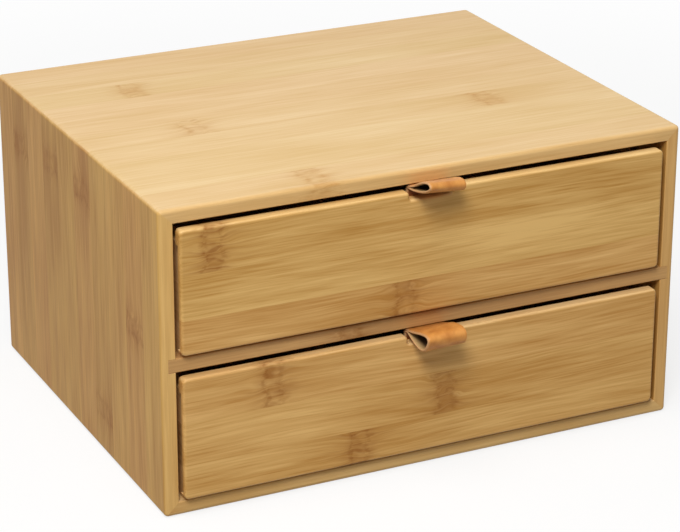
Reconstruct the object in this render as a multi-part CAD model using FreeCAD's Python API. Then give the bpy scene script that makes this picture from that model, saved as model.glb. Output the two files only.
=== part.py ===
import FreeCAD, Part
import math
import os

# Tea bag drawer box of pressed bamboo: four boards mitred into a case, a shelf housed in the
# sides, a back panel in grooves, and two drawers that slide on the boards below them.
# Millimetres. +Z is up, the drawers face -Y, and the origin is the middle of the underside.

# Case
case_width = 250.0
case_depth = 200.0
case_height = 140.0
case_board = 6.5          # top, bottom and sides
shelf_board = 6.3
shelf_housing = 3.5       # how far the shelf's ends stand in the sides
outer_round = 2.0         # outer edges, eased across the glued mitres
mouth_round = 0.5         # inner edges of the front, and the shelf's front edges
back_board = 4.0
back_inset = 4.0          # the back panel's face behind the boards' back edges
back_groove = 3.0         # depth of the grooves that hold the back panel

# Drawers
drawer_play = 2.6         # each side, between a drawer front and the case
drawer_lean = 1.0         # how far a closed drawer rests to the left of the middle
front_above = 2.6         # gap over a drawer front
front_below = 1.8         # gap under a drawer front
front_proud = 3.3         # how far a closed front stands out of the case
front_board = 5.0
front_round = 1.2         # front edges of a drawer front
front_corner = 2.0        # corners of a drawer front, seen from the front
front_lip = 1.5           # how far a front's ends stand beyond the sides
side_board = 6.0          # drawer sides
rear_board = 6.0          # drawer backs
side_drop = 7.0           # the sides' top edges below the front's
side_round = 0.8          # top edges of sides and backs
front_rebate = 2.5        # how far the sides enter the front
rebate_rise = 1.7         # rebates start above the front's lower edge, over notches in the sides
rear_rebate = 2.5         # how far the back enters each side
bottom_board = 3.0
bottom_rise = 4.0         # underside of the bottom above the sides' lower edges
bottom_groove = 2.2       # depth of the grooves that hold the bottom
panel_play = 0.2          # room for a panel's edges in their grooves
panel_slack = 0.1         # room for a panel's thickness in its groove

# Dividers
divider_board = 4.0
divider_drop = 4.0        # the dividers' top edges below the sides'
divider_housing = 1.5     # how far the dividers' ends stand in the drawer's walls
divider_round = 0.6
lap_play = 0.1            # each side of a divider, in its housings and laps
column_count = 3

# Pulls: a strap folded double, its tails screwed to the front's inner face
strap_width = 18.5
strap_leather = 1.1
strap_bend = 1.0          # inside radius where the strap turns down behind the front
tail_drop = 24.0          # tail ends below the front's top edge
tail_corner = 2.0
notch_width = 21.0
notch_depth = 3.5
notch_corner = 1.2
layers_part = 0.1         # half the gap where the two layers part
strap_room = 0.4          # between the strap and the board above it
# reach in front of the case, height of the fold and upward pitch in degrees
pulls = {
    "upper": {"reach": 18.5, "fold": 5.2, "pitch": 16.0},
    "lower": {"reach": 20.5, "fold": 7.6, "pitch": 4.0},
}

# Pull screws
screw_spacing = 9.0
screw_rise = 7.0          # above the tail's end
head_radius = 2.6
head_height = 1.6
head_rim = 0.6            # height of the head's upright edge
head_flat = 1.5           # radius of the head's flat top
thread_radius = 1.25
screw_bite = 3.8          # length in the front
screw_point = 1.2
pilot_radius = 0.9
strap_hole_play = 0.2

# Planes that several pieces share
case_front = -case_depth / 2
back_face = case_depth / 2 - back_inset - back_board
mouth_height = (case_height - 2 * case_board - shelf_board) / 2
shelf_floor = case_board + mouth_height + shelf_board
front_half = case_width / 2 - case_board - drawer_play
body_half = front_half - front_lip
front_face = case_front - front_proud
front_inner = front_face + front_board
rear_inner = back_face - rear_board
side_front = front_inner - front_rebate
column_width = (2 * (body_half - side_board) - (column_count - 1) * divider_board) / column_count


def vector(x, y, z):
    return FreeCAD.Vector(x, y, z)


def box(low, high):
    size = [b - a for a, b in zip(low, high)]
    return Part.makeBox(*size, vector(*low))


def in_plane(shape, axis, value):
    # edges of the shape that lie in the plane where the axis has this value
    return [e for e in shape.Edges if all(abs(getattr(v.Point, axis) - value) < 1e-6 for v in e.Vertexes)]


def along(edge, axis):
    # true where the edge is straight and parallel to the axis
    if edge.Curve.TypeId != "Part::GeomLine":
        return False
    return abs(getattr(edge.tangentAt(edge.FirstParameter), axis)) > 0.999


def rounded_face(corners, place):
    # face whose corners, given as (a, b, radius), are rounded by arcs; place puts (a, b) in space
    ends = []
    for i, (a, b, radius) in enumerate(corners):
        point = vector(a, b, 0)
        before = vector(*corners[i - 1][:2], 0) - point
        after = vector(*corners[(i + 1) % len(corners)][:2], 0) - point
        half = before.getAngle(after) / 2
        before.normalize()
        after.normalize()
        cut = radius / math.tan(half)
        middle = (before + after).normalize() * (radius / math.sin(half) - radius)
        ends.append((point + before * cut, point + middle, point + after * cut, radius))
    edges = []
    for i, (start, middle, end, radius) in enumerate(ends):
        if radius > 0:
            edges.append(Part.Arc(*[place(p.x, p.y) for p in (start, middle, end)]).toShape())
        following = ends[(i + 1) % len(ends)][0]
        edges.append(Part.LineSegment(place(end.x, end.y), place(following.x, following.y)).toShape())
    return Part.Face(Part.Wire(edges))


def teardrop_face(root, root_radius, tip, tip_radius, place):
    # outline of a small and a large circle joined by their outer tangents
    ahead = tip - root
    lean = math.asin((tip_radius - root_radius) / ahead.Length)
    ahead.normalize()
    across = vector(-ahead.y, ahead.x, 0)
    upper = across * math.cos(lean) - ahead * math.sin(lean)
    lower = across * -math.cos(lean) - ahead * math.sin(lean)

    def at(centre, radius, direction):
        point = centre + direction * radius
        return place(point.x, point.y)

    root_arc = Part.Arc(at(root, root_radius, lower), at(root, root_radius, -ahead),
                        at(root, root_radius, upper))
    tip_arc = Part.Arc(at(tip, tip_radius, upper), at(tip, tip_radius, ahead),
                       at(tip, tip_radius, lower))
    sides = [Part.LineSegment(at(root, root_radius, d), at(tip, tip_radius, d)) for d in (upper, lower)]
    return Part.Face(Part.Wire([root_arc.toShape(), sides[0].toShape(), tip_arc.toShape(),
                                sides[1].toShape()]))


def case_boards():
    # one rounded block, hollowed and then parted along the mitres
    half = case_width / 2
    block = box((-half, case_front, 0), (half, -case_front, case_height))
    block = block.makeFillet(outer_round, block.Edges)
    hollow = box((-half + case_board, case_front - 1, case_board),
                 (half - case_board, -case_front + 1, case_height - case_board))
    ring = block.cut(hollow)
    mouth = [e for e in in_plane(ring, "y", case_front) if abs(e.BoundBox.Center.x) < half - case_board + 0.1
             and case_board - 0.1 < e.BoundBox.Center.z < case_height - case_board + 0.1]
    ring = ring.makeFillet(mouth_round, mouth)

    def mitred(outer, inner):
        # wedge between two mitre planes, from beyond the outer face to inside the board
        corners = [(*outer[0], 0), (*outer[1], 0), (*inner[1], 0), (*inner[0], 0)]
        wedge = rounded_face(corners, lambda x, z: vector(x, case_front - 1, z))
        return ring.common(wedge.extrude(vector(0, case_depth + 2, 0)))

    over = 2 * outer_round
    inside = case_board + 2 * mouth_round
    outer = [(-half - over, -over), (half + over, -over), (half + over, case_height + over),
             (-half - over, case_height + over)]
    inner = [(-half + inside, inside), (half - inside, inside), (half - inside, case_height - inside),
             (-half + inside, case_height - inside)]
    names = ["case_bottom", "case_right_side", "case_top", "case_left_side"]
    boards = {}
    for i, name in enumerate(names):
        pair = (i, (i + 1) % 4)
        boards[name] = mitred([outer[k] for k in pair], [inner[k] for k in pair])
    return boards


def case():
    boards = case_boards()
    wall = case_width / 2 - case_board

    # back panel, afloat in its grooves
    reach = back_groove - panel_play
    low = (-wall - reach, back_face, case_board - reach)
    high = (wall + reach, back_face + back_board, case_height - case_board + reach)
    back = box(low, high)
    groove = box((low[0] - panel_play, low[1], low[2] - panel_play),
                 (high[0] + panel_play, high[1] + panel_slack, high[2] + panel_play))
    for name in boards:
        boards[name] = boards[name].cut(groove)

    # shelf, its ends in housings that run through the sides' front edges
    under = shelf_floor - shelf_board
    end = wall + shelf_housing
    shelf = box((-end, case_front, under), (end, back_face, shelf_floor))
    for side in ("case_left_side", "case_right_side"):
        boards[side] = boards[side].cut(shelf)
    shelf = shelf.makeFillet(mouth_round, [e for e in in_plane(shelf, "y", case_front) if along(e, "x")])
    return {**boards, "case_shelf": shelf, "case_back": back}


def drawer_front(low, high, top):
    # front board: rounded outline with the pull's notch, its front edges eased, and stopped
    # rebates behind its ends, up to the top of the sides
    half = notch_width / 2
    dip = high - notch_depth
    corners = [(-front_half, low, front_corner), (front_half, low, front_corner),
               (front_half, high, front_corner), (half, high, notch_corner), (half, dip, notch_corner),
               (-half, dip, notch_corner), (-half, high, notch_corner), (-front_half, high, front_corner)]
    face = rounded_face(corners, lambda x, z: vector(x, front_face, z))
    front = face.extrude(vector(0, front_board, 0))
    front = front.makeFillet(front_round, in_plane(front, "y", front_face))
    for sign in (-1, 1):
        ends = sorted((sign * (body_half - side_board), sign * (front_half + 1)))
        front = front.cut(box((ends[0], side_front, low + rebate_rise), (ends[1], front_inner + 1, top)))
    return front


def drawer_side(sign, floor, low, top):
    ends = sorted((sign * (body_half - side_board), sign * body_half))
    side = box((ends[0], side_front, floor), (ends[1], back_face, top))
    side = side.cut(box((ends[0], side_front, floor), (ends[1], front_inner, low + rebate_rise)))
    return side.makeFillet(side_round, [e for e in in_plane(side, "z", top) if along(e, "y")])


def drawer_back(floor, top):
    reach = body_half - side_board + rear_rebate
    back = box((-reach, rear_inner, floor), (reach, back_face, top))
    return back.makeFillet(side_round, [e for e in in_plane(back, "z", top) if along(e, "x")])


def lapped_dividers(low, high):
    # one divider across the drawer, slotted from above, and the others from front to back,
    # slotted from below, which drop over it
    middle = (low + high) / 2
    depth_centre = (front_inner + rear_inner) / 2
    inner = body_half - side_board
    half = divider_board / 2
    lap = half + lap_play
    cross = box((-inner - divider_housing, depth_centre - half, low),
                (inner + divider_housing, depth_centre + half, high))
    cross = cross.makeFillet(divider_round, [e for e in in_plane(cross, "z", high) if along(e, "x")])
    long_ones = []
    for k in range(1, column_count):
        x = -inner + k * (column_width + divider_board) - half
        cross = cross.cut(box((x - lap, depth_centre - lap, middle), (x + lap, depth_centre + lap, high)))
        board = box((x - half, front_inner - divider_housing, low),
                    (x + half, rear_inner + divider_housing, high))
        board = board.makeFillet(divider_round, [e for e in in_plane(board, "z", high) if along(e, "y")])
        slot = box((x - lap, depth_centre - lap, low), (x + lap, depth_centre + lap, middle))
        long_ones.append(board.cut(slot))
    return cross, long_ones


def housing(board, axis):
    # room that a divider's ends need in the drawer's walls: its own box, eased across its thickness
    bounds = board.BoundBox
    low = [bounds.XMin, bounds.YMin, bounds.ZMin]
    high = [bounds.XMax, bounds.YMax, bounds.ZMax]
    low[axis] -= lap_play
    high[axis] += lap_play
    return box(low, high)


def pull_section(shape, high):
    # the folded strap seen along X: tails, neck through the notch, and the loop; high is the
    # drawer front's top edge
    def place(y, z):
        return vector(-strap_width / 2, y, z)

    double = 2 * strap_leather
    under = high + front_above - strap_room - double
    tail_end = high - tail_drop
    band = rounded_face([
        (front_inner + double, tail_end, 0),
        (front_inner + double, under + double, strap_bend + double),
        (case_front, under + double, 0),
        (case_front, under, 0),
        (front_inner, under, strap_bend),
        (front_inner, tail_end, 0)], place)
    root = vector(case_front, under + strap_leather, 0)
    pitch = math.radians(shape["pitch"])
    fold = shape["fold"] / 2
    tip = root + vector(-math.cos(pitch), math.sin(pitch), 0) * (shape["reach"] - fold)
    skin = teardrop_face(root, strap_leather + layers_part, tip, fold, place)
    hole = teardrop_face(root, layers_part, tip, fold - strap_leather, place)
    width = vector(strap_width, 0, 0)
    strap = band.extrude(width).fuse(skin.extrude(width)).cut(hole.extrude(width)).removeSplitter()
    tail_corners = [e for e in in_plane(strap, "z", tail_end) if along(e, "y")]
    return strap.makeFillet(tail_corner, tail_corners), tail_end


def screw_places(tail_end):
    return [(sign * screw_spacing / 2, tail_end + screw_rise) for sign in (-1, 1)]


def pull_screw(x, z):
    # pan-headed screw along -Y, seated on the strap, turned from its half section
    seat = front_inner + 2 * strap_leather
    tip = front_inner - screw_bite
    profile = [(0, tip), (thread_radius, tip + screw_point), (thread_radius, seat), (head_radius, seat),
               (head_radius, seat + head_rim), (head_flat, seat + head_height), (0, seat + head_height)]
    corners = [(radius, y, 0) for radius, y in profile]
    half_section = rounded_face(corners, lambda radius, y: vector(x + radius, y, z))
    return half_section.revolve(vector(x, 0, z), vector(0, 1, 0), 360)


def cylinder_y(radius, x, y0, y1, z):
    return Part.makeCylinder(radius, y1 - y0, vector(x, y0, z), vector(0, 1, 0))


def drawer(level, floor):
    # a drawer that stands on the plane z = floor
    low = floor + front_below
    high = floor + mouth_height - front_above
    top = high - side_drop
    front = drawer_front(low, high, top)
    left = drawer_side(-1, floor, low, top)
    right = drawer_side(1, floor, low, top)
    back = drawer_back(floor, top)
    left = left.cut(back)
    right = right.cut(back)

    # bottom panel, resting on the lower lips of its grooves
    reach = bottom_groove - panel_play
    inner = body_half - side_board
    under = floor + bottom_rise
    bottom_low = (-inner - reach, front_inner - reach, under)
    bottom_high = (inner + reach, rear_inner + reach, under + bottom_board)
    bottom = box(bottom_low, bottom_high)
    groove = box((bottom_low[0] - panel_play, bottom_low[1] - panel_play, under),
                 (bottom_high[0] + panel_play, bottom_high[1] + panel_play, bottom_high[2] + panel_slack))
    front, left, right, back = [board.cut(groove) for board in (front, left, right, back)]

    # dividers, standing on the bottom and housed in the walls
    cross, long_ones = lapped_dividers(under + bottom_board, top - divider_drop)
    room = housing(cross, 1)
    left = left.cut(room)
    right = right.cut(room)
    for board in long_ones:
        room = housing(board, 0)
        front = front.cut(room)
        back = back.cut(room)

    # pull and its screws
    strap, tail_end = pull_section(pulls[level], high)
    screws = []
    for x, z in screw_places(tail_end):
        front = front.cut(cylinder_y(pilot_radius, x, front_inner - screw_bite, front_inner + 1, z))
        strap = strap.cut(cylinder_y(thread_radius + strap_hole_play, x, front_inner - 1,
                                     front_inner + 2 * strap_leather + 1, z))
        screws.append(pull_screw(x, z))

    pieces = {"drawer_front": front, "drawer_left_side": left, "drawer_right_side": right,
              "drawer_back": back, "drawer_bottom": bottom, "cross_divider": cross,
              "pull_strap": strap, "pull_screws": Part.makeCompound(screws)}
    names = ["left_divider", "right_divider"]
    pieces.update(zip(names, long_ones))
    lean = vector(-drawer_lean, 0, 0)
    return {level + "_" + name: shape.translated(lean) for name, shape in pieces.items()}


nodes = {**case(), **drawer("lower", case_board), **drawer("upper", shelf_floor)}
os.makedirs("parts", exist_ok=True)
for name, shape in nodes.items():
    shape.exportStep("parts/" + name + ".step")
    print(name, len(shape.Solids), "solid", round(shape.Volume / 1000, 2), "cm3",
          "valid" if shape.isValid() else "NOT VALID")
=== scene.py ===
import math

import bpy
import numpy as np
from mathutils import Matrix, Vector


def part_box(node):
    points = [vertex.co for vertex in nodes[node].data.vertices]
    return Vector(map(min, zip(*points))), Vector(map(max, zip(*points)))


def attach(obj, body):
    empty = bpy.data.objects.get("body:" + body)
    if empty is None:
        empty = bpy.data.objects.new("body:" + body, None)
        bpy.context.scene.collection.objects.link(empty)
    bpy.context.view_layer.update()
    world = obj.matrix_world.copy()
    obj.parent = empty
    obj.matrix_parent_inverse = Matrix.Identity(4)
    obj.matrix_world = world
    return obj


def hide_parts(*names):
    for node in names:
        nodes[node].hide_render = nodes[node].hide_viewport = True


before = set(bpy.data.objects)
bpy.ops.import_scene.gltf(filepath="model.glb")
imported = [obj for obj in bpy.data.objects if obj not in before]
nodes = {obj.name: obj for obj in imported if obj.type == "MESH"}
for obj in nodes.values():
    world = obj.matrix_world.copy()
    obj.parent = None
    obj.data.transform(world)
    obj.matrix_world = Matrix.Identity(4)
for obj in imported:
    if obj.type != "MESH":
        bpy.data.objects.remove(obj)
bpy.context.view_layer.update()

# Tea bag drawer box: pressed bamboo case and drawers, folded leather pulls, steel screws.
# Lengths in the dictionaries are millimetres unless they say metres; the scene is in metres.

mm = 0.001


def linear(hexColour):
    # sRGB hex to linear RGBA
    srgb = np.array([int(hexColour[i:i + 2], 16) / 255 for i in (1, 3, 5)])
    flat = np.where(srgb <= 0.04045, srgb / 12.92, ((srgb + 0.055) / 1.055) ** 2.4)
    return (*flat.tolist(), 1.0)


def addNode(tree, kind, inputs=(), **settings):
    # a node with its settings, its constants and its links; the inputs are a list in the node's own
    # order or a dictionary, and each may be a value, a socket or a node
    node = tree.nodes.new(kind)
    for key, value in settings.items():
        setattr(node, key, value)
    for key, value in inputs.items() if isinstance(inputs, dict) else enumerate(inputs):
        if isinstance(value, bpy.types.Node):
            value = value.outputs[0]
        if isinstance(value, bpy.types.NodeSocket):
            tree.links.new(value, node.inputs[key])
        else:
            node.inputs[key].default_value = value
    return node


def newMaterial(name):
    material = bpy.data.materials.new(name)
    material.use_nodes = True
    material.node_tree.nodes.clear()
    return material, material.node_tree


# camera
view = {
    "place": (-0.4928, -1.0319, 0.5231),    # metres
    "tilt": 90 - 22.15,               # degrees; 90 looks level
    "turn": -25.78,
    "roll": 0.13,
    "lens": 139.54,
    "sensor": 36,
}


def placeCamera():
    data = bpy.data.cameras.new("camera")
    data.lens = view["lens"]
    data.sensor_width = view["sensor"]
    data.sensor_fit = "HORIZONTAL"
    camera = bpy.data.objects.new("camera", data)
    turn = Matrix.Rotation(math.radians(view["turn"]), 4, "Z")
    tilt = Matrix.Rotation(math.radians(view["tilt"]), 4, "X")
    roll = Matrix.Rotation(math.radians(view["roll"]), 4, "Z")
    camera.matrix_world = Matrix.Translation(view["place"]) @ turn @ tilt @ roll
    bpy.context.scene.collection.objects.link(camera)
    bpy.context.scene.camera = camera


placeCamera()
print("camera placed")

# light, floor, background: turns and heights are degrees, and lengths are metres
studio = {
    "sky": 0.26,                      # strength of the pale room around the object
    "key": {"turn": -32, "height": 45, "distance": 1.7, "size": 0.55, "watts": 17.1},
    "top": {"turn": -55, "height": 75, "distance": 1.5, "size": 0.9, "watts": 7.9},
    "aim": (0, 0, 0.07),              # middle of the object, which the lamps look at
    "floor": "#F8F8F7",
    "floorGiven": "#A8A7A5",          # tone of the floor in the light that it throws back
    "floorGlow": 0.76,                # share of plain white that the eye sees in the floor
    "floorFade": (0.25, 0.8),         # that share grows to all between these, from the middle
    "floorRadius": 4,
    "floorCorners": 96,
    "floorDrop": 0.0002,              # how far the floor lies under the object
}


def softBox(name, lamp):
    # an area lamp that looks at the middle of the object, from a turn and a height in degrees
    data = bpy.data.lights.new(name, "AREA")
    data.shape = "DISK"
    data.size = lamp["size"]
    data.energy = lamp["watts"]
    turn, height = math.radians(lamp["turn"]), math.radians(lamp["height"])
    toLamp = Vector((math.sin(turn) * math.cos(height), -math.cos(turn) * math.cos(height),
                     math.sin(height)))
    thing = bpy.data.objects.new(name, data)
    thing.location = Vector(studio["aim"]) + toLamp * lamp["distance"]
    thing.rotation_euler = toLamp.to_track_quat("Z", "Y").to_euler()
    bpy.context.scene.collection.objects.link(thing)


def seenByEye(tree):
    # 1 where the camera looks, straight or by gloss or glass, and 0 in the light on the object
    path = addNode(tree, "ShaderNodeLightPath").outputs
    seen = path["Is Camera Ray"]
    for other in ("Is Glossy Ray", "Is Transmission Ray"):
        seen = addNode(tree, "ShaderNodeMath", [seen, path[other]], operation="MAXIMUM")
    return seen


def makeRoom():
    # a plain pale room: white to the eye, and dimmer as light
    world = bpy.data.worlds.new("room")
    bpy.context.scene.world = world
    world.use_nodes = True
    tree = world.node_tree
    tree.nodes.clear()
    strength = addNode(tree, "ShaderNodeMapRange", {"Value": seenByEye(tree),
                                                    "To Min": studio["sky"], "To Max": 1.0})
    back = addNode(tree, "ShaderNodeBackground", {"Color": (1, 1, 1, 1), "Strength": strength})
    addNode(tree, "ShaderNodeOutputWorld", {"Surface": back})


def makeFloor():
    # a wide disc that turns plain white away from the object
    count, radius = studio["floorCorners"], studio["floorRadius"]
    ring = np.linspace(0, 2 * np.pi, count + 1)[:-1]
    corners = np.stack([radius * np.cos(ring), radius * np.sin(ring),
                        np.full(count, -studio["floorDrop"])], 1)
    mesh = bpy.data.meshes.new("floor")
    mesh.from_pydata(corners.tolist(), [], [list(range(count))])
    floor = bpy.data.objects.new("floor", mesh)
    bpy.context.scene.collection.objects.link(floor)

    # plain paper: flat and pale, keeps a soft shadow under the object
    material, tree = newMaterial("pale_paper_floor")
    seen = seenByEye(tree)
    where = addNode(tree, "ShaderNodeTexCoord").outputs["Object"]
    far = addNode(tree, "ShaderNodeVectorMath", [where], operation="LENGTH").outputs["Value"]
    near, wide = studio["floorFade"]
    fade = addNode(tree, "ShaderNodeMapRange", {"Value": far, "From Min": near, "From Max": wide,
                                                "To Min": studio["floorGlow"], "To Max": 1.0},
                   interpolation_type="SMOOTHSTEP")
    share = addNode(tree, "ShaderNodeMath", [seen, fade], operation="MULTIPLY")
    tone = addNode(tree, "ShaderNodeMix", {"Factor": seen, 6: linear(studio["floorGiven"]),
                                           7: linear(studio["floor"])}, data_type="RGBA")
    paper = addNode(tree, "ShaderNodeBsdfDiffuse", {"Color": tone.outputs[2]})
    glow = addNode(tree, "ShaderNodeEmission", {"Color": (1, 1, 1, 1), "Strength": 1.0})
    both = addNode(tree, "ShaderNodeMixShader", [share, paper, glow])
    addNode(tree, "ShaderNodeOutputMaterial", {"Surface": both})
    mesh.materials.append(material)


softBox("key_light", studio["key"])
softBox("top_light", studio["top"])
makeRoom()
makeFloor()
bpy.context.scene.view_settings.view_transform = "Standard"
print("studio ready")

# bamboo: the colour sets, where marks is the strength of the knuckles, the grain and the lacquer
bamboo = {
    "stripWidth": 20.0,
    "case": {"pale": "#E8C897", "deep": "#D9B379", "scar": "#C08C4C", "marks": 0.75},
    "edge": {"pale": "#E4B873", "deep": "#CA9B5A"},     # front edges, cut across the layers
    "shelf": {"pale": "#D7AC6D", "deep": "#B88C56", "scar": "#96622E", "marks": 0.9},
    "side": {"pale": "#E0AF5F", "deep": "#B9833D", "scar": "#9C6229", "marks": 0.7},
    "drawer": {"pale": "#E6BA74", "deep": "#BC8841", "scar": "#9A6229", "marks": 0.95},
    "inner": {"pale": "#E5BC82", "deep": "#CB9D62", "scar": "#9C6C36", "marks": 0.8},
    "rim": {"pale": "#F1CF95", "deep": "#DBAD6A"},      # painted highlight: paler tones for faces that look up or down, where the rounded edges and the fronts' tops catch the overhead light
    "facing": (0.25, 0.8),            # a face takes such a tone as it turns to look along an axis
    "streaks": 0.52,                  # strength of the broad fibre streaks
    "fibres": 0.60,                   # strength of the fine fibre lines
    "clouds": 0.5,                    # strength of the slow changes along a strip
    "stripTones": 0.6,                # how much the strips differ
    "vessels": -0.16,                 # darkening of the fine dashes
    "hues": (0.497, 0.006),           # a strip's lowest hue, where 0.5 is no change, and the range
    "grainDepth": 0.035,              # relief of the fibres
    "roughness": 0.56,                # of the matt lacquer, less on the fibres, more on a scar
    "roughFibres": -0.12,
    "roughScars": 0.10,
    "raisedStreaks": 0.5,             # shares of the relief beside the fine fibres' own
    "sunkScars": -0.35,
    "ior": 1.5,
    "specular": 0.22,
    "knuckleSpan": 500.0,             # knuckles stand within half of this of the middle
    "knuckleBeyond": 60,              # drawn ones may lie so far past the board's ends
    "drawnTones": (0.3, 0.7),         # of the strips that the board doesn't name
    "shift": 700.0,                   # each strip moves the patterns by up to this
    "seedStep": 17.31,                # between one board's strip numbers and the next one's
}

# Patterns of the grain: waves to a millimetre along the grain and across it, the noise's detail and
# roughness, and, where it is given, the part of the noise that is spread over 0 to 1. The fibres
# and vessels are twice as wide as real ones, which are too fine to show.
patterns = {
    "ridgeBend": (0.0, 0.16, 1.0, 0.5, None),           # ridges wave every 6 mm or so
    "ridgeRag": (0.12, 0.8, 2.0, 0.7, None),            # and fray by the bundle
    "ridgeGaps": (0.35, 0.55, 2.0, 0.6, (0.36, 0.60)),
    "stainPatches": (0.09, 0.15, 2.0, 0.6, (0.34, 0.62)),
    "wander": (0.008, 0.03, 1.0, 0.5, None),            # 125 mm long, 33 mm wide
    "swerve": (0.06, 0.16, 1.0, 0.5, None),
    "streaks": (0.013, 0.20, 2.0, 0.5, None),           # 77 mm long, 5 mm wide
    "fibres": (0.03, 0.95, 2.0, 0.6, None),             # 33 mm long, 1 mm wide
    "vessels": (0.05, 1.6, 0.0, 0.5, (0.58, 0.74)),     # dashes 20 mm long, 0.6 mm wide
    "clouds": (0.011, 0.05, 1.0, 0.5, None),            # 90 mm long, 20 mm wide
    "flames": (0.045, 0.7, 1.0, 0.5, (0.45, 0.65)),     # dark points that run out of a knuckle
}

# Knuckle: two ridges across the strip and what lies round them. A pair is the middle along the
# grain, from the knuckle's place, and the reach.
knuckle = {
    "bend": 8.0, "rag": 4.0,          # how far the ridges wave and fray
    "firstRidge": (-1.2, 1.4),
    "secondRidge": (6.4, 1.8),
    "secondShare": 0.7,               # strength of the second ridge beside the first
    "stain": (2.6, 7.0),
    "stainShares": (0.75, 0.2),       # of the stain, in its patches and all over
    "flames": (2.8, 13.0),
    "dim": (2.8, 38.0),               # the strip is a little darker so far away
    "dimmed": -0.2,
    "swerve": (2.5, 10.0),
    "swerveBy": 12.0,                 # fibres give way to it within this width
    "wanderBy": 7.0,                  # and wander within this width all along
    "scars": {"ridges": 0.40, "stain": 0.55, "flames": 0.38},
}

# Faces that are cut across the layers have tones of their own, and faces that look up or down take
# the paler rim tones, a painted highlight of the overhead light: the axis that they face, the
# tones, and how far the board's colours go over to them.
cutAndHighlitFaces = {"case": [("y", "edge", 0.7)], "side": [("z", "rim", 1.0), ("y", "edge", 1.0)],
            "drawer": [("z", "rim", 0.9)]}

# Each board: the colour set, the grain's axis, the axis across the strips and the third one, and
# where the first strip starts. "strips" gives a tone from 0 (dark) to 1 (pale) and the place of the
# knuckle along the grain, for each strip in turn; the other boards draw theirs from the seed.
frontStart = {level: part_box(level + "_drawer_front")[0][2] / mm for level in ("upper", "lower")}
boards = {
    "case_top": {"colours": "case", "axes": "xyz", "start": -100,
                 "strips": [(0.60, -54), (0.5, 196), (0.6, 190), (0.52, 63), (0.56, -74),
                            (0.48, 190), (0.58, 195), (0.5, -80), (0.45, 190), (0.52, -190)]},
    "case_bottom": {"colours": "case", "axes": "xyz", "start": -100},
    "case_shelf": {"colours": "shelf", "axes": "xyz", "start": -100},
    "case_back": {"colours": "inner", "axes": "xzy", "start": 0},
    "case_left_side": {"colours": "side", "axes": "zyx", "start": -100,
                       "strips": [(0.62, 230), (0.6, 74), (0.58, 230), (0.5, 18), (0.42, 116),
                                  (0.48, 230), (0.4, 116), (0.5, 230), (0.44, 112), (0.46, 230)]},
    "case_right_side": {"colours": "side", "axes": "zyx", "start": -100},
    "upper_drawer_front": {"colours": "drawer", "axes": "xzy", "start": frontStart["upper"] - 4,
                           "strips": [(0.44, -16), (0.64, 190), (0.42, -105)]},
    "lower_drawer_front": {"colours": "drawer", "axes": "xzy", "start": frontStart["lower"] - 4,
                           "strips": [(0.5, -37), (0.5, 4.5), (0.58, -78)]},
}
for level in ("upper", "lower"):
    start = frontStart[level]
    for part, axes, first in (("drawer_back", "xzy", start - 4),
                              ("drawer_left_side", "yzx", start - 7),
                              ("drawer_right_side", "yzx", start - 2),
                              ("drawer_bottom", "xyz", -105),
                              ("cross_divider", "xzy", start - 5),
                              ("left_divider", "yzx", start - 9),
                              ("right_divider", "yzx", start - 3)):
        boards[level + "_" + part] = {"colours": "inner", "axes": axes, "start": first}


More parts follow.
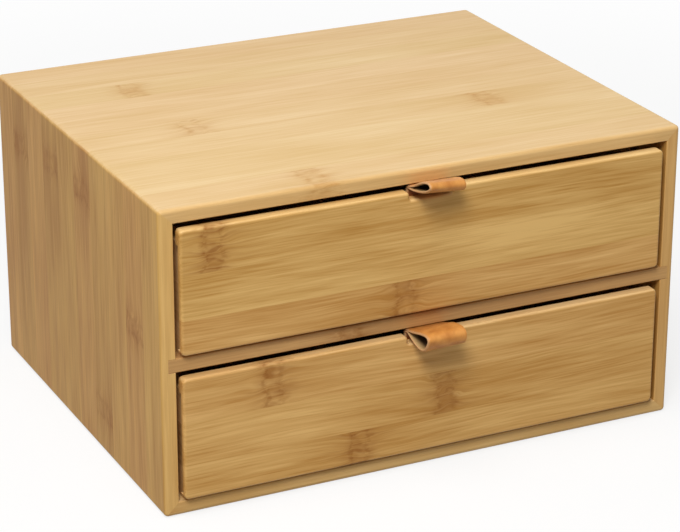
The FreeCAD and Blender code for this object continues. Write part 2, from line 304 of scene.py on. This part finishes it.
def bambooGroup():
    # Fibres are noise drawn out along the grain. Each strip shifts the noise by its own random
    # amount, so the lines break at the glue. Near a knuckle the fibres swerve round two ragged
    # dark ridges that cross the strip.
    group = bpy.data.node_groups.new("bambooGrain", "ShaderNodeTree")
    sockets = {"NodeSocketVector": ["Place"],
               "NodeSocketFloat": ["Strip", "Tone", "Knuckle", "Hue", "Marks"],
               "NodeSocketColor": ["Pale", "Deep", "Scar"]}
    for kind, names in sockets.items():
        for name in names:
            group.interface.new_socket(name, in_out="INPUT", socket_type=kind)
    for name, kind in (("Colour", "NodeSocketColor"), ("Roughness", "NodeSocketFloat"),
                       ("Height", "NodeSocketFloat")):
        group.interface.new_socket(name, in_out="OUTPUT", socket_type=kind)

    given = addNode(group, "NodeGroupInput").outputs
    random = addNode(group, "ShaderNodeTexWhiteNoise", {"W": given["Strip"]}, noise_dimensions="1D")
    jump = addNode(group, "ShaderNodeVectorMath", {0: random.outputs["Color"],
                                                   "Scale": bamboo["shift"]}, operation="SCALE")
    shifted = addNode(group, "ShaderNodeVectorMath", [given["Place"], jump], operation="ADD")

    def pattern(name, place):
        # noise drawn out along the grain, and the part of it that the pattern uses
        lengthwise, sideways, detail, roughness, part = patterns[name]
        spread = addNode(group, "ShaderNodeVectorMath",
                         [place, (lengthwise, sideways, sideways)], operation="MULTIPLY")
        value = addNode(group, "ShaderNodeTexNoise", {
            "Vector": spread, "Scale": 1.0, "Detail": detail, "Roughness": roughness}).outputs[0]
        if part:
            value = addNode(group, "ShaderNodeMapRange", {"Value": value, "From Min": part[0],
                                                          "From Max": part[1]},
                            interpolation_type="SMOOTHSTEP").outputs[0]
        return value

    def bell(away, middle, reach):
        # exp(-((away - middle) / reach)^2)
        offset = addNode(group, "ShaderNodeMath", [away, middle], operation="SUBTRACT")
        offset = addNode(group, "ShaderNodeMath", [offset, reach], operation="DIVIDE")
        square = addNode(group, "ShaderNodeMath", [offset, offset], operation="MULTIPLY")
        square = addNode(group, "ShaderNodeMath", [square, -1.0], operation="MULTIPLY")
        return addNode(group, "ShaderNodeMath", [square], operation="EXPONENT")

    def addUp(start, terms, **settings):
        # start + the sum of value * share; the settings are those of the last step
        for i, (value, share) in enumerate(terms):
            last = settings if i == len(terms) - 1 else {}
            start = addNode(group, "ShaderNodeMath", [value, share, start],
                            operation="MULTIPLY_ADD", **last)
        return start

    # how far a place is from the knuckle, whose ridges wave across the strip and fray
    along = addNode(group, "ShaderNodeSeparateXYZ", [given["Place"]]).outputs[0]
    bend = addUp(-(knuckle["bend"] + knuckle["rag"]) / 2,
                 [(pattern("ridgeBend", shifted), knuckle["bend"]),
                  (pattern("ridgeRag", shifted), knuckle["rag"])])
    away = addNode(group, "ShaderNodeMath", [along, given["Knuckle"]], operation="SUBTRACT")
    away = addNode(group, "ShaderNodeMath", [away, bend], operation="ADD")

    # ridges with gaps, and a stain in patches
    second = addNode(group, "ShaderNodeMath", [bell(away, *knuckle["secondRidge"]),
                                               knuckle["secondShare"]], operation="MULTIPLY")
    ridges = addNode(group, "ShaderNodeMath", [bell(away, *knuckle["firstRidge"]), second],
                     operation="MAXIMUM")
    ridges = addNode(group, "ShaderNodeMath", [ridges, pattern("ridgeGaps", shifted)],
                     operation="MULTIPLY")
    inPatches, allOver = knuckle["stainShares"]
    patches = addUp(allOver, [(pattern("stainPatches", shifted), inPatches)])
    stain = addNode(group, "ShaderNodeMath", [bell(away, *knuckle["stain"]), patches],
                    operation="MULTIPLY")

    # fibres: lines that wander slowly, and swerve near the knuckle
    swerve = addUp(-knuckle["swerveBy"] / 2, [(pattern("swerve", shifted), knuckle["swerveBy"])])
    swerve = addNode(group, "ShaderNodeMath", [swerve, bell(away, *knuckle["swerve"])],
                     operation="MULTIPLY")
    wander = addUp(-knuckle["wanderBy"] / 2, [(pattern("wander", shifted), knuckle["wanderBy"])])
    aside = addNode(group, "ShaderNodeMath", [wander, swerve], operation="ADD")
    aside = addNode(group, "ShaderNodeCombineXYZ", {1: aside})
    fibrePlace = addNode(group, "ShaderNodeVectorMath", [shifted, aside], operation="ADD")
    streaks, fibres, vessels, flames = (pattern(name, fibrePlace)
                                        for name in ("streaks", "fibres", "vessels", "flames"))
    flames = addNode(group, "ShaderNodeMath", [flames, bell(away, *knuckle["flames"])],
                     operation="MULTIPLY")

    # shade from deep to pale: the middle of each noise leaves it at a half
    shade = 0.5
    for value, name in ((streaks, "streaks"), (fibres, "fibres"),
                        (pattern("clouds", shifted), "clouds"), (given["Tone"], "stripTones")):
        centred = addNode(group, "ShaderNodeMath", [value, 0.5], operation="SUBTRACT")
        shade = addUp(shade, [(centred, bamboo[name] * 2)])
    shade = addUp(shade, [(vessels, bamboo["vessels"]),
                          (bell(away, *knuckle["dim"]), knuckle["dimmed"])], use_clamp=True)
    wood = addNode(group, "ShaderNodeMix", {"Factor": shade, 6: given["Deep"], 7: given["Pale"]},
                   data_type="RGBA")
    lowestHue, hueRange = bamboo["hues"]
    turned = addNode(group, "ShaderNodeHueSaturation", {
        "Hue": addUp(lowestHue, [(given["Hue"], hueRange)]), "Color": wood.outputs[2]})

    # the knuckle's dark marks over it
    scar = 0.0
    for name, value in (("ridges", ridges), ("stain", stain), ("flames", flames)):
        scar = addUp(scar, [(value, knuckle["scars"][name])])
    scar = addNode(group, "ShaderNodeMath", [scar, given["Marks"]], operation="MULTIPLY",
                   use_clamp=True)
    marked = addNode(group, "ShaderNodeMix", {"Factor": scar, 6: turned.outputs[0],
                                              7: given["Scar"]}, data_type="RGBA")

    rough = addUp(bamboo["roughness"], [(fibres, bamboo["roughFibres"]),
                                        (scar, bamboo["roughScars"])])
    sunk = addNode(group, "ShaderNodeMath", [scar, vessels], operation="ADD")
    height = addUp(fibres, [(streaks, bamboo["raisedStreaks"]), (sunk, bamboo["sunkScars"])])
    addNode(group, "NodeGroupOutput", {"Colour": marked.outputs[2], "Roughness": rough,
                                       "Height": height})
    return group


def stripValues(name, board, seed):
    # one row a strip: tone, the knuckle's place along the grain, and hue, each from the seed where
    # the board doesn't give it
    low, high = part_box(name)
    grainAxis, acrossAxis = ("xyz".index(letter) for letter in board["axes"][:2])
    count = math.ceil((high[acrossAxis] / mm - board["start"]) / bamboo["stripWidth"])
    draw = np.random.default_rng(seed)
    beyond = bamboo["knuckleBeyond"]
    tones = draw.uniform(*bamboo["drawnTones"], count)
    knuckles = draw.uniform(low[grainAxis] / mm - beyond, high[grainAxis] / mm + beyond, count)
    hues = draw.uniform(0, 1, count)
    for i, (tone, place) in enumerate(board.get("strips", [])[:count]):
        tones[i], knuckles[i] = tone, place
    return np.stack([tones, knuckles, hues], 1)


def bambooFinish(name, board, seed):
    # pressed bamboo, sanded and lacquered matt: pale straw strips, darker fibres and knuckles, with
    # a soft sheen that is strongest at a flat angle, and on some boards a painted highlight on
    # faces that look up or down
    material, tree = newMaterial("pressed_bamboo_" + name)
    colours = bamboo[board["colours"]]
    width, span = bamboo["stripWidth"], bamboo["knuckleSpan"]
    strips = stripValues(name, board, seed)
    count = len(strips)

    # place in millimetres, along the grain first and across the strips next
    where = addNode(tree, "ShaderNodeTexCoord").outputs
    split = addNode(tree, "ShaderNodeSeparateXYZ", [where["Object"]]).outputs
    ordered = [split["xyz".index(letter)] for letter in board["axes"]]
    turned = addNode(tree, "ShaderNodeCombineXYZ", ordered)
    place = addNode(tree, "ShaderNodeVectorMath", {0: turned, "Scale": 1 / mm}, operation="SCALE")

    # number of the strip, and its row of values from a stepped ramp
    across = addNode(tree, "ShaderNodeMath", [ordered[1], 1 / mm / width, -board["start"] / width],
                     operation="MULTIPLY_ADD")
    index = addNode(tree, "ShaderNodeMath", [across], operation="FLOOR")
    inRamp = addNode(tree, "ShaderNodeMath", [index, 1 / count, 0.5 / count],
                     operation="MULTIPLY_ADD")
    ramp = addNode(tree, "ShaderNodeValToRGB", [inRamp])
    ramp.color_ramp.interpolation = "CONSTANT"
    stops = ramp.color_ramp.elements
    while len(stops) < count:
        stops.new(1.0)
    while len(stops) > count:
        stops.remove(stops[-1])
    for i, (tone, along, hue) in enumerate(strips):
        stops[i].position = i / count
        stops[i].color = (tone, along / span + 0.5, hue, 1)
    values = addNode(tree, "ShaderNodeSeparateColor", [ramp]).outputs
    along = addNode(tree, "ShaderNodeMath", [values[1], span, -span / 2], operation="MULTIPLY_ADD")
    number = addNode(tree, "ShaderNodeMath", [index, seed * bamboo["seedStep"]], operation="ADD")

    # pale and deep tones, which go over to others on cut faces, and to the paler rim tones, a
    # painted highlight, on faces that look up or down
    tones = {key: linear(colours[key]) for key in ("pale", "deep")}
    low, high = bamboo["facing"]
    for faces, others, share in cutAndHighlitFaces.get(board["colours"], []):
        facing = addNode(tree, "ShaderNodeSeparateXYZ", [where["Normal"]])
        facing = addNode(tree, "ShaderNodeMath", [facing.outputs["xyz".index(faces)]],
                         operation="ABSOLUTE")
        # share of the cut face's own tone, or, for the rim tones, of the painted highlight
        cutOrHighlitShare = addNode(tree, "ShaderNodeMapRange", {"Value": facing, "From Min": low,
                                                      "From Max": high, "To Max": share})
        for key, tone in tones.items():
            tones[key] = addNode(tree, "ShaderNodeMix", {"Factor": cutOrHighlitShare, 6: tone,
                                                         7: linear(bamboo[others][key])},
                                 data_type="RGBA").outputs[2]

    grain = addNode(tree, "ShaderNodeGroup", {
        "Place": place, "Strip": number, "Tone": values[0], "Knuckle": along, "Hue": values[2],
        "Marks": colours["marks"], "Pale": tones["pale"], "Deep": tones["deep"],
        "Scar": linear(colours["scar"])}, node_tree=bambooGrain).outputs
    relief = addNode(tree, "ShaderNodeBump", {
        "Strength": 1.0, "Distance": bamboo["grainDepth"] * mm, "Height": grain["Height"]})
    shader = addNode(tree, "ShaderNodeBsdfPrincipled", {
        "Base Color": grain["Colour"], "Roughness": grain["Roughness"], "IOR": bamboo["ior"],
        "Specular IOR Level": bamboo["specular"], "Normal": relief})
    addNode(tree, "ShaderNodeOutputMaterial", {"Surface": shader})
    return material


bambooGrain = bambooGroup()
for seed, (name, board) in enumerate(boards.items()):
    finish = bambooFinish(name, board, seed + 1)
    mesh = nodes[name].data
    mesh.materials.clear()
    mesh.materials.append(finish)
print("bamboo finished:", len(boards), "boards")


# new meshes
def gridMesh(name, rings):
    # rings is an array (rows, points, 3) in metres: each row is a closed ring joined to the next,
    # and the end rows are closed with one face each
    rows, points = rings.shape[:2]
    index = np.arange(rows * points).reshape(rows, points)
    a, b = index[:-1], index[1:]
    quads = np.stack([a, np.roll(a, -1, 1), np.roll(b, -1, 1), b], -1).reshape(-1, 4)
    faces = quads.tolist() + [index[0][::-1].tolist(), index[-1].tolist()]
    mesh = bpy.data.meshes.new(name)
    mesh.from_pydata(rings.reshape(-1, 3).tolist(), [], faces)
    mesh.update()
    mesh.shade_smooth()
    thing = bpy.data.objects.new(name, mesh)
    bpy.context.scene.collection.objects.link(thing)
    return thing


def throughPoints(points, count):
    # smooth line through the points: cubic Hermite pieces whose slopes are the centred chords,
    # then count points evenly spaced by length
    points = np.array(points, float)
    knots = np.r_[0, np.cumsum(np.sqrt(np.linalg.norm(np.diff(points, axis=0), axis=1)))]
    slopes = np.gradient(points, knots, axis=0)
    t = np.linspace(0, knots[-1], 40 * len(points))     # 40 samples a piece are dense enough
    i = np.clip(np.searchsorted(knots, t, side="right") - 1, 0, len(points) - 2)
    h = (knots[i + 1] - knots[i])[:, None]
    u = (t - knots[i])[:, None] / h
    line = ((1 + 2 * u) * (1 - u) ** 2 * points[i] + u * (1 - u) ** 2 * h * slopes[i]
            + u * u * (3 - 2 * u) * points[i + 1] + u * u * (u - 1) * h * slopes[i + 1])
    travelled = lengthAlong(line)
    even = np.linspace(0, travelled[-1], count)
    return np.stack([np.interp(even, travelled, line[:, k]) for k in range(line.shape[1])], 1)


def lengthAlong(line):
    # length travelled at each point of a line, from its first one
    return np.r_[0, np.cumsum(np.linalg.norm(np.diff(line, axis=0), axis=1))]


# leather pulls
strap = {
    "width": 18.5,
    "thickness": 1.1,
    "edgeRound": 0.3,
    "bend": 1.0,                      # inside radius where it turns down behind the front
    "tail": 24.0,                     # tail ends below the front's top edge
    "tailCorner": 2.0,
    "caseFront": -100.0,              # y of the case's front face, where the loop begins
    # middle line of the leather in the loop: in front of the case and height, from the neck's upper
    # layer round the fold to the lower layer, at the strap's left and right edges
    "upper": {
        "under": 130.9,
        "left": [(0, 132.55), (4.0, 134.2), (9.0, 136.9), (14.2, 138.9), (17.8, 139.35),
                 (19.1, 138.2), (17.9, 136.6), (14.0, 134.6), (9.0, 133.0), (4.0, 131.9),
                 (0, 131.45)],
        "right": [(0, 132.55), (3.5, 134.3), (7.5, 136.0), (12.0, 137.3), (15.3, 137.2),
                  (16.5, 135.9), (15.6, 134.2), (12.5, 133.0), (8.0, 132.1), (4.0, 131.6),
                  (0, 131.45)]},
    "lower": {
        "under": 64.25,
        "left": [(0, 65.9), (3.5, 66.6), (8.0, 67.8), (13.0, 69.1), (17.6, 69.6), (19.3, 68.6),
                 (18.8, 66.4), (17.2, 64.0), (15.2, 62.3), (11.5, 61.6), (6.5, 62.4), (3.0, 63.7),
                 (0, 64.8)],
        "right": [(0, 65.9), (3.5, 67.2), (8.0, 69.1), (13.4, 70.3), (17.4, 70.4), (19.65, 69.0),
                  (19.75, 66.8), (18.4, 64.7), (15.6, 63.3), (11.5, 62.8), (6.5, 63.2), (3.0, 64.0),
                  (0, 64.8)]},
    # rows of points along the leather
    "tailRows": 16, "turnRows": 9, "neckRows": 5, "loopRows": 90,
    # points round its section: on a flat, a corner and a cut edge
    "flatPoints": 27, "cornerPoints": 5, "edgePoints": 2,
    "hide": "#D9964C", "hideDeep": "#C27D3A", "flesh": "#E0BE86", "fleshDeep": "#A67D4A",
    "edge": "#D4A676",
    "paintedNeckShade": "#7A431C",             # painted shade: the hide goes dark at the neck in the notch under the loop, at the bend and on the hidden tail
    "fleshShade": "#553E26",          # painted shade: the flesh side down the middle of the width, dark as the inside of the loop
    "fleshShadeFade": (5.5, 8.5),             # from the middle of the width: the painted shade fades out between these
    "finished": 0.35,                 # share of the thickness that the hide's colour goes into
    "edgeShows": 0.6,                 # share of the edge's rounding that has the cut edge's tone
    "neckShadeStart": 3.0,               # where the painted shade starts under the neck, and the lengths over which it fades
    "neckShadeInLoop": 6.0, "neckShadeInTail": 9.0,
    "outerNeckShade": 0.4,               # strength of the painted shade on the layer away from the wood
    "clouds": 0.22,                   # to a millimetre: soft clouds of 4 to 5 mm
    "cloudPart": (0.35, 0.65),        # the part of their noise that is used
    "pores": 1.9,                     # about 0.5 mm apart, coarser than real ones, which don't show
    "fuzz": 2.6,                      # loose fibres about 0.4 mm wide
    "reliefDepth": 0.05,
    "hideRough": 0.42, "fleshRough": 0.85,
    "ior": 1.48, "specular": 0.25,
}


def frontOf(level):
    # middle, inner face and top edge of the drawer front, which the strap and its screws sit on
    low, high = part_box(level + "_drawer_front")
    return (low[0] + high[0]) / 2 / mm, high[1] / mm, high[2] / mm


def strapLines(level):
    # the whole middle line in (y, z) for the left and the right edge: up the rear tail, over the
    # bend, forward through the notch, round the loop and back the same way
    shape = strap[level]
    face, top = frontOf(level)[1:]
    thick, under, caseFront = strap["thickness"], shape["under"], strap["caseFront"]
    tailEnd = top - strap["tail"]
    tailRows, neckRows = strap["tailRows"], strap["neckRows"]

    def layer(offset):
        # from the tail's end to the case's front, offset from the front's inner face
        radius = strap["bend"] + offset
        quarter = np.linspace(0, np.pi / 2, strap["turnRows"])
        centre = (face - strap["bend"], under - strap["bend"])
        tail = np.stack([np.full(tailRows, face + offset),
                         np.linspace(tailEnd, centre[1], tailRows + 1)[:-1]], 1)
        turn = np.stack([centre[0] + radius * np.cos(quarter),
                         centre[1] + radius * np.sin(quarter)], 1)
        neck = np.stack([np.linspace(centre[0], caseFront, neckRows + 2)[1:-1],
                         np.full(neckRows, under + offset)], 1)
        return np.concatenate([tail, turn, neck])

    out = layer(1.5 * thick)
    back = layer(0.5 * thick)[::-1]
    lines = []
    for side in ("left", "right"):
        loop = throughPoints(shape[side], strap["loopRows"])
        loop = np.stack([caseFront - loop[:, 0], loop[:, 1]], 1)
        lines.append(np.concatenate([out, loop, back]))
    return lines


def strapSection():
    # ring of points round a rectangle with rounded corners: across the strap, and outwards through
    # its thickness
    wide, thin, turn = strap["width"] / 2, strap["thickness"] / 2, strap["edgeRound"]
    quarter = np.linspace(0, np.pi / 2, strap["cornerPoints"])
    flat = np.linspace(-(wide - turn), wide - turn, strap["flatPoints"] + 2)[1:-1]
    corner = np.stack([turn * np.sin(quarter), turn * np.cos(quarter)], 1)
    upper = np.stack([flat, np.full(strap["flatPoints"], thin)], 1)
    right = corner + [wide - turn, thin - turn]
    side = np.stack([np.full(strap["edgePoints"], wide),
                     np.linspace(thin - turn, turn - thin, strap["edgePoints"] + 2)[1:-1]], 1)
    ring = np.concatenate([upper, right, side])
    return np.concatenate([ring, -ring])


def strapShares(level, left, section):
    # what the eye sees at each point, as three shares: edgeShare on the cut edges, fleshShare on
    # the inner, rough side, and a share of painted shade at the neck and the bend, which fades into
    # the loop and down the tails and is weaker on the layer away from the wood
    rows = len(left)
    inEdge = np.abs(section[:, 0]) > strap["width"] / 2 - strap["edgeRound"] * strap["edgeShows"]
    inEdge &= section[:, 1] < strap["thickness"] * (0.5 - strap["finished"])
    edge = np.tile(inEdge.astype(float), (rows, 1))
    edge[0] = edge[-1] = 1
    flesh = np.tile((section[:, 1] < 0).astype(float), (rows, 1))

    # painted shade: strongest under the neck and at the bend, fading into the loop and down the
    # tail
    travelled = lengthAlong(left)
    intoLoop = (strap["caseFront"] - left[:, 0]) / strap["neckShadeInLoop"]
    downTail = (strap[level]["under"] - strap["neckShadeStart"] - left[:, 1]) / strap["neckShadeInTail"]
    neckShadeAlong = np.clip(1 - np.where(left[:, 0] < strap["caseFront"], intoLoop, downTail), 0, 1)
    neckShadeAlong[travelled < travelled[-1] / 2] *= strap["outerNeckShade"]
    neckShade = np.repeat(neckShadeAlong[:, None], len(section), 1)
    return {"edgeShare": edge, "fleshShare": flesh, "neckShadeShare": neckShade}


def makeStrap(level):
    # the section carried along the middle line, which goes over evenly from the left edge's to the
    # right edge's across the strap; each end narrows by the quarter circles of its corners
    left, right = strapLines(level)
    section = strapSection()
    share = section[:, 0] / strap["width"] + 0.5
    line = left[:, None] * (1 - share[None, :, None]) + right[:, None] * share[None, :, None]
    along = np.gradient(line, axis=0)
    along /= np.linalg.norm(along, axis=2, keepdims=True)
    # outward of the loop is to the left of the way forward
    normal = np.stack([along[..., 1], -along[..., 0]], -1)
    travelled = lengthAlong(left)
    toEnd = np.minimum(travelled, travelled[-1] - travelled)
    corner = strap["tailCorner"]
    short = np.clip(corner - toEnd, 0, corner)
    narrow = 1 - (corner - np.sqrt(corner ** 2 - short ** 2)) / (strap["width"] / 2)
    x = frontOf(level)[0] + section[None, :, 0] * narrow[:, None]
    yz = line + normal * section[None, :, 1:2]
    thing = gridMesh(level + "_leather_pull", np.concatenate([x[..., None], yz], -1) * mm)
    mesh = thing.data

    # UV in millimetres: along the strap and across it
    uv = np.stack(np.broadcast_arrays(travelled[:, None], section[None, :, 0]), -1).reshape(-1, 2)
    corners = np.zeros(len(mesh.loops), np.int32)
    mesh.loops.foreach_get("vertex_index", corners)
    layer = mesh.uv_layers.new(name="strapPlace")
    layer.data.foreach_set("uv", uv[corners].astype(np.float32).ravel())
    for name, values in strapShares(level, left, section).items():
        attribute = mesh.attributes.new(name, "FLOAT", "POINT")
        attribute.data.foreach_set("value", values.astype(np.float32).ravel())
    mesh.materials.append(leatherFinish)
    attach(thing, level + "_drawer")
    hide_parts(level + "_pull_strap")


def makeLeather():
    # vegetable-tanned cowhide: smooth waxed tan outside with faint pores, pale raw edges where it
    # was cut, and a rougher flesh side; painted shade darkens the hide at the neck and bend and the
    # middle of the flesh side, which stays pale at the edges
    material, tree = newMaterial("vegetable_tanned_leather")
    place = addNode(tree, "ShaderNodeUVMap", uv_map="strapPlace")
    cloud = addNode(tree, "ShaderNodeTexNoise", {"Vector": place, "Scale": strap["clouds"],
                                                 "Detail": 3.0})
    pores = addNode(tree, "ShaderNodeTexVoronoi", {"Vector": place, "Scale": strap["pores"]},
                    feature="DISTANCE_TO_EDGE")
    fuzz = addNode(tree, "ShaderNodeTexNoise", {"Vector": place, "Scale": strap["fuzz"],
                                                "Detail": 3.0}).outputs[0]
    neckShade, edge, flesh = (addNode(tree, "ShaderNodeAttribute", attribute_name=name).outputs["Fac"]
                         for name in ("neckShadeShare", "edgeShare", "fleshShare"))
    low, high = strap["cloudPart"]
    cloudy = addNode(tree, "ShaderNodeMapRange", {"Value": cloud, "From Min": low,
                                                  "From Max": high})
    # painted shade on the flesh side: dark down the middle of the width, fading out towards the
    # edges
    across = addNode(tree, "ShaderNodeSeparateXYZ", [place])
    fromMiddle = addNode(tree, "ShaderNodeMath", [across.outputs[1]], operation="ABSOLUTE")
    inner, outer = strap["fleshShadeFade"]
    fleshShadeFade = addNode(tree, "ShaderNodeMapRange", {"Value": fromMiddle, "From Min": inner,
                                                  "From Max": outer})

    # tones mixed in turn: by what, from which tone and to which; two steps paint shade, dark hide
    # at the neck and bend and a dark middle on the flesh side
    tones = {name: linear(strap[name]) for name in ("hide", "hideDeep", "paintedNeckShade", "flesh",
                                                    "fleshDeep", "fleshShade", "edge")}
    for name, factor, first, second in (("hide", cloudy, "hideDeep", "hide"),
                                        ("hide", neckShade, "hide", "paintedNeckShade"),
                                        ("flesh", fuzz, "fleshDeep", "flesh"),
                                        ("flesh", fleshShadeFade, "fleshShade", "flesh"),
                                        ("colour", flesh, "hide", "flesh"),
                                        ("colour", edge, "colour", "edge")):
        tones[name] = addNode(tree, "ShaderNodeMix", {"Factor": factor, 6: tones[first],
                                                      7: tones[second]},
                              data_type="RGBA").outputs[2]

    rough = addNode(tree, "ShaderNodeMapRange", {"Value": flesh, "To Min": strap["hideRough"],
                                                 "To Max": strap["fleshRough"]})
    grain = addNode(tree, "ShaderNodeMath", [pores.outputs["Distance"], 0.5, fuzz],
                    operation="MULTIPLY_ADD")
    relief = addNode(tree, "ShaderNodeBump", {
        "Strength": 1.0, "Distance": strap["reliefDepth"] * mm, "Height": grain})
    shader = addNode(tree, "ShaderNodeBsdfPrincipled", {
        "Base Color": tones["colour"], "Roughness": rough, "IOR": strap["ior"],
        "Specular IOR Level": strap["specular"], "Normal": relief})
    addNode(tree, "ShaderNodeOutputMaterial", {"Surface": shader})
    return material


leatherFinish = makeLeather()
for level in ("upper", "lower"):
    makeStrap(level)
print("leather pulls made")

# pull screws
screw = {
    "spacing": 9.0, "rise": 7.0,      # apart, and above the tail's end
    "headRadius": 2.6, "rim": 0.5, "height": 1.6,
    "shankRadius": 1.25, "bite": 3.8, "point": 1.2, "tipRadius": 0.05,
    "crossReach": 1.45, "crossHalf": 0.38, "crossDepth": 0.9,
    "crossTurn": 0.5,                 # radians
    "crossWall": 0.12, "crossEnd": 0.35,    # slope of the recess at its sides and its ends
    "turnPoints": 96, "domeRows": 34, "hub": 0.02,
    "zincDeep": "#9FA2A4", "zinc": "#D2D2CE",
    "speck": 0.25,                    # grain of the plating, coarser than the real one, to show
    "roughness": (0.24, 0.42),
    "reliefDepth": 0.02,
}


def makeSteel():
    # zinc-plated steel: grey with a faint cool sheen and a fine grain
    material, tree = newMaterial("zinc_plated_steel")
    where = addNode(tree, "ShaderNodeTexCoord").outputs["Object"]
    specks = addNode(tree, "ShaderNodeTexNoise", {
        "Vector": where, "Scale": 1 / (screw["speck"] * mm), "Detail": 2.0}).outputs[0]
    colour = addNode(tree, "ShaderNodeMix", {"Factor": specks, 6: linear(screw["zincDeep"]),
                                             7: linear(screw["zinc"])}, data_type="RGBA")
    smooth, rough = screw["roughness"]
    rough = addNode(tree, "ShaderNodeMapRange", {"Value": specks, "To Min": smooth,
                                                 "To Max": rough})
    relief = addNode(tree, "ShaderNodeBump", {
        "Strength": 0.4, "Distance": screw["reliefDepth"] * mm, "Height": specks})
    shader = addNode(tree, "ShaderNodeBsdfPrincipled", {
        "Base Color": colour.outputs[2], "Metallic": 1.0, "Roughness": rough, "Normal": relief})
    addNode(tree, "ShaderNodeOutputMaterial", {"Surface": shader})
    return material


def screwRings(x, z, seat):
    # half section turned about the screw's axis: a dome cut from a sphere, the rim, the shank and
    # its point; the cross recess lowers the dome where either arm of the cross lies
    count = screw["turnPoints"]
    turns = np.linspace(0, 2 * np.pi, count + 1)[:-1]
    radius, rim, height = screw["headRadius"], screw["rim"], screw["height"]
    dome = np.linspace(screw["hub"], radius, screw["domeRows"])
    sphere = (radius ** 2 + (height - rim) ** 2) / (2 * (height - rim))
    top = height - sphere + np.sqrt(sphere ** 2 - dome ** 2)
    across = dome[:, None] * np.cos(turns + screw["crossTurn"])
    upward = dome[:, None] * np.sin(turns + screw["crossTurn"])

    def arm(length, side):
        inside = np.clip((screw["crossHalf"] - np.abs(side)) / screw["crossWall"] + 0.5, 0, 1)
        return inside * np.clip((screw["crossReach"] - np.abs(length)) / screw["crossEnd"], 0, 1)

    recess = np.maximum(arm(across, upward), arm(upward, across)) * screw["crossDepth"]
    tip = -2 * strap["thickness"] - screw["bite"]
    under = np.array([(radius, 0), (screw["shankRadius"], 0),
                      (screw["shankRadius"], tip + screw["point"]), (screw["tipRadius"], tip)])
    radii = np.concatenate([dome, under[:, 0]])[:, None]
    outs = np.concatenate([top[:, None] - recess, np.repeat(under[:, 1:], count, 1)])
    return np.stack([x + radii * np.cos(turns), seat + outs, z + radii * np.sin(turns)], -1) * mm


def makeScrews(level):
    middle, face, top = frontOf(level)
    seat = face + 2 * strap["thickness"]
    z = top - strap["tail"] + screw["rise"]
    for sign, side in ((-1, "left"), (1, "right")):
        rings = screwRings(middle + sign * screw["spacing"] / 2, z, seat)[:, ::-1]
        thing = gridMesh(level + "_" + side + "_pull_screw", rings)
        thing.data.materials.append(steelFinish)
        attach(thing, level + "_drawer")
        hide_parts(level + "_pull_screws")


steelFinish = makeSteel()
for level in ("upper", "lower"):
    makeScrews(level)
print("screws made")
